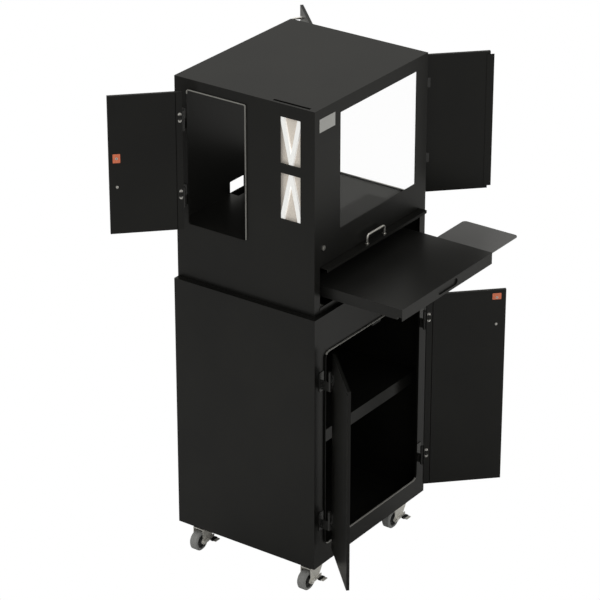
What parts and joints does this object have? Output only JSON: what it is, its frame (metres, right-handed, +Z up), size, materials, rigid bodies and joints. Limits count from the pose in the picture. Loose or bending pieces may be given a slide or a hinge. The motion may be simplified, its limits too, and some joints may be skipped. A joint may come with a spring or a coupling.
{
  "type": "mobile equipment cabinet",
  "caption": "Tall mobile cabinet on braked castors with hinged doors, a window, side filters, a pull-out keyboard tray with side tray and a lift-up flap.",
  "frame": {"origin": "on the floor under the middle of the lower cabinet", "axes": "+X to the cabinet's right, +Y to its rear, +Z up"},
  "size_m": [1.0124, 0.9426, 1.6635],
  "materials": {
    "black_paint": "semi-gloss black powder coat",
    "foam_rubber": "matt black foam strip",
    "satin_metal": "satin bright metal",
    "grey_tyre": "grey non-marking tread",
    "wheel_plastic": "dark grey moulded plastic",
    "zinc": "zinc plated steel",
    "clear_pane": "clear sheet",
    "label_grey": "bare grey label plate",
    "chrome": "polished",
    "filter_media": "off-white fibre pad",
    "white_plastic": "white plastic",
    "runner_steel": "dark painted steel",
    "grey_paint": "semi-matt grey paint"
  },
  "bodies": {
    "cabinet": {"lower_shell": "black_paint", "upper_shell": "black_paint", "front_panel": "black_paint", "equipment_floor": "black_paint", "lower_shelf": "black_paint", "shelf_clips": "zinc", "window_pane": "clear_pane", "window_gasket": "foam_rubber", "label_plate": "label_grey", "lock_barrel": "chrome", "filter_holder": "black_paint", "filter_pads": "filter_media", "filter_retainers": "white_plastic", "hinge_brackets": "black_paint", "hinge_pins": "satin_metal", "drawer_rails": "zinc", "flap_tracks": "zinc", "caster_plates": "zinc"},
    "lock": {"lock_plug": "chrome"},
    "lower_left": {"lower_left_door": "black_paint", "lower_left_hinges": "black_paint", "lower_left_liner": "black_paint"},
    "lower_right": {"lower_right_door": "black_paint", "lower_right_hinges": "black_paint", "lower_right_liner": "black_paint", "lower_right_handle": "satin_metal"},
    "upper_left": {"upper_left_door": "black_paint", "upper_left_hinges": "black_paint", "upper_left_liner": "black_paint", "upper_left_handle": "satin_metal"},
    "upper_front": {"upper_front_door": "black_paint", "upper_front_hinges": "black_paint", "upper_front_liner": "black_paint"},
    "upper_rear": {"upper_rear_door": "black_paint", "upper_rear_hinges": "black_paint", "upper_rear_liner": "black_paint", "upper_rear_handle": "satin_metal"},
    "flap_slider": {"flap_carriage": "zinc"},
    "flap": {"flap_panel": "black_paint", "flap_handle": "satin_metal"},
    "tray": {"keyboard_tray": "black_paint", "tray_runners": "runner_steel", "mouse_guides": "zinc"},
    "mouse_tray": {"mouse_tray": "grey_paint"},
    "fork_front_left": {"fork_front_left": "zinc"},
    "wheel_front_left": {"tyre_front_left": "grey_tyre", "wheel_front_left": "wheel_plastic"},
    "lever_front_left": {"lever_front_left": "zinc"},
    "fork_front_right": {"fork_front_right": "zinc"},
    "wheel_front_right": {"tyre_front_right": "grey_tyre", "wheel_front_right": "wheel_plastic"},
    "lever_front_right": {"lever_front_right": "zinc"},
    "fork_rear_left": {"fork_rear_left": "zinc"},
    "wheel_rear_left": {"tyre_rear_left": "grey_tyre", "wheel_rear_left": "wheel_plastic"},
    "lever_rear_left": {"lever_rear_left": "zinc"},
    "fork_rear_right": {"fork_rear_right": "zinc"},
    "wheel_rear_right": {"tyre_rear_right": "grey_tyre", "wheel_rear_right": "wheel_plastic"},
    "lever_rear_right": {"lever_rear_right": "zinc"}
  },
  "joints": [
    {"name": "lower_left_door", "type": "hinge", "parent": "cabinet", "child": "lower_left", "pos_m": [-0.27, -0.297, 0.79], "axis": [0, 0, -1], "range_deg": [-135, 30]},
    {"name": "lower_right_door", "type": "hinge", "parent": "cabinet", "child": "lower_right", "pos_m": [0.27, -0.297, 0.79], "axis": [0, 0, 1], "range_deg": [-135, 30]},
    {"name": "upper_left_door", "type": "hinge", "parent": "cabinet", "child": "upper_left", "pos_m": [-0.323, 0.226, 1.39], "axis": [0, 0, -1], "range_deg": [-135, 30]},
    {"name": "upper_front_door", "type": "hinge", "parent": "cabinet", "child": "upper_front", "pos_m": [0.3435, -0.225, 1.39], "axis": [0, 0, -1], "range_deg": [-135, 30]},
    {"name": "upper_rear_door", "type": "hinge", "parent": "cabinet", "child": "upper_rear", "pos_m": [0.3435, 0.217, 1.39], "axis": [0, 0, 1], "range_deg": [-135, 30]},
    {"name": "lock_turn", "type": "hinge", "parent": "cabinet", "child": "lock", "pos_m": [-0.253, -0.2575, 1.201], "axis": [0, -1, 0], "range_deg": [0, 90]},
    {"name": "flap_slide", "type": "slide", "parent": "cabinet", "child": "flap_slider", "axis": [0, 1, 0], "range_m": [-0.0275, 0]},
    {"name": "flap_tilt", "type": "hinge", "parent": "flap_slider", "child": "flap", "pos_m": [0.01025, -0.2225, 1.134], "axis": [-1, 0, 0], "range_deg": [-90, 0]},
    {"name": "tray_slide", "type": "slide", "parent": "cabinet", "child": "tray", "axis": [0, -1, 0], "range_m": [-0.078, 0]},
    {"name": "mouse_tray_slide", "type": "slide", "parent": "tray", "child": "mouse_tray", "axis": [1, 0, 0], "range_m": [-0.15, 0]},
    {"name": "swivel_front_left", "type": "hinge", "parent": "cabinet", "child": "fork_front_left", "pos_m": [-0.245, -0.2305, 0.077], "axis": [0, 0, 1], "continuous": true},
    {"name": "roll_front_left", "type": "hinge", "parent": "fork_front_left", "child": "wheel_front_left", "pos_m": [-0.304, -0.2305, 0.0335], "axis": [0, 1, 0], "continuous": true},
    {"name": "brake_front_left", "type": "hinge", "parent": "fork_front_left", "child": "lever_front_left", "pos_m": [-0.304, -0.2525, 0.0335], "axis": [0, 1, 0], "range_deg": [0, 20]},
    {"name": "swivel_front_right", "type": "hinge", "parent": "cabinet", "child": "fork_front_right", "pos_m": [0.245, -0.2305, 0.077], "axis": [0, 0, 1], "continuous": true},
    {"name": "roll_front_right", "type": "hinge", "parent": "fork_front_right", "child": "wheel_front_right", "pos_m": [0.186, -0.2305, 0.0335], "axis": [0, 1, 0], "continuous": true},
    {"name": "brake_front_right", "type": "hinge", "parent": "fork_front_right", "child": "lever_front_right", "pos_m": [0.186, -0.2525, 0.0335], "axis": [0, 1, 0], "range_deg": [0, 20]},
    {"name": "swivel_rear_left", "type": "hinge", "parent": "cabinet", "child": "fork_rear_left", "pos_m": [-0.245, 0.2045, 0.077], "axis": [0, 0, 1], "continuous": true},
    {"name": "roll_rear_left", "type": "hinge", "parent": "fork_rear_left", "child": "wheel_rear_left", "pos_m": [-0.304, 0.2045, 0.0335], "axis": [0, 1, 0], "continuous": true},
    {"name": "brake_rear_left", "type": "hinge", "parent": "fork_rear_left", "child": "lever_rear_left", "pos_m": [-0.304, 0.1825, 0.0335], "axis": [0, 1, 0], "range_deg": [0, 20]},
    {"name": "swivel_rear_right", "type": "hinge", "parent": "cabinet", "child": "fork_rear_right", "pos_m": [0.245, 0.2045, 0.077], "axis": [0, 0, 1], "continuous": true},
    {"name": "roll_rear_right", "type": "hinge", "parent": "fork_rear_right", "child": "wheel_rear_right", "pos_m": [0.186, 0.2045, 0.0335], "axis": [0, 1, 0], "continuous": true},
    {"name": "brake_rear_right", "type": "hinge", "parent": "fork_rear_right", "child": "lever_rear_right", "pos_m": [0.186, 0.1825, 0.0335], "axis": [0, 1, 0], "range_deg": [0, 20]}
  ]
}
